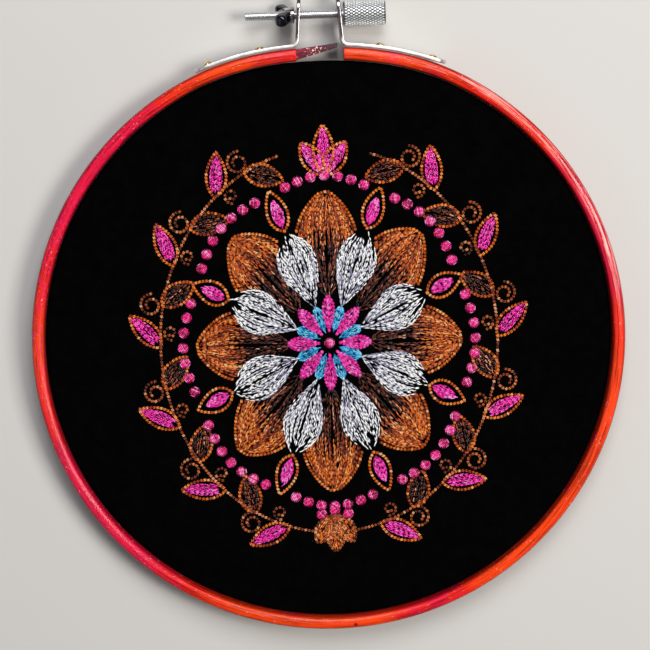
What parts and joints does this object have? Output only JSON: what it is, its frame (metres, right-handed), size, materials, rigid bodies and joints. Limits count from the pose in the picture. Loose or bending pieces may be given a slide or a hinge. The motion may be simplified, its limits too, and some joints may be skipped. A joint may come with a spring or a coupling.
{
  "type": "embroidery in hoop",
  "caption": "Round wooden embroidery hoop with a stained split rim, steel brackets, knurled clamp screw and wing nut, holding a black cloth stitched with a flower medallion.",
  "frame": {"origin": "bottom centre of the whole: on the plane the inner ring's back rests on, 7.8 mm towards the clamp from the rings' centre", "axes": "+X to the right as the face is seen, +Y towards the clamp, +Z out of the embroidered face"},
  "size_m": [0.202, 0.2176, 0.0141],
  "materials": {
    "stained_wood": "red to orange spirit stain under gloss varnish",
    "inner_wood": "plain sanded beech",
    "black_cloth": "matte black cotton, plain weave",
    "plated_steel": "nickel-plated strip",
    "bright_steel": "bright-plated turned steel",
    "brass": "plain brass",
    "thread_rust": "rayon thread",
    "thread_amber": "rayon thread",
    "thread_white": "rayon thread",
    "thread_magenta": "rayon thread",
    "thread_blue": "rayon thread"
  },
  "bodies": {
    "hoop": {"hoop_outer": "stained_wood", "hoop_inner": "inner_wood", "cloth": "black_cloth", "bracket_left": "plated_steel", "bracket_right": "plated_steel", "pin_left_1": "brass", "pin_left_2": "brass", "pin_right_1": "brass", "pin_right_2": "brass"},
    "screw": {"clamp_screw": "bright_steel"},
    "nut": {"wing_nut": "bright_steel"}
  },
  "joints": [
    {"name": "screw_turn", "type": "hinge", "parent": "hoop", "child": "screw", "pos_m": [0, 0.10268, 0.00755], "axis": [1, 0, 0], "continuous": true},
    {"name": "nut_turn", "type": "hinge", "parent": "hoop", "child": "nut", "pos_m": [0, 0.10268, 0.00755], "axis": [1, 0, 0], "continuous": true}
  ]
}
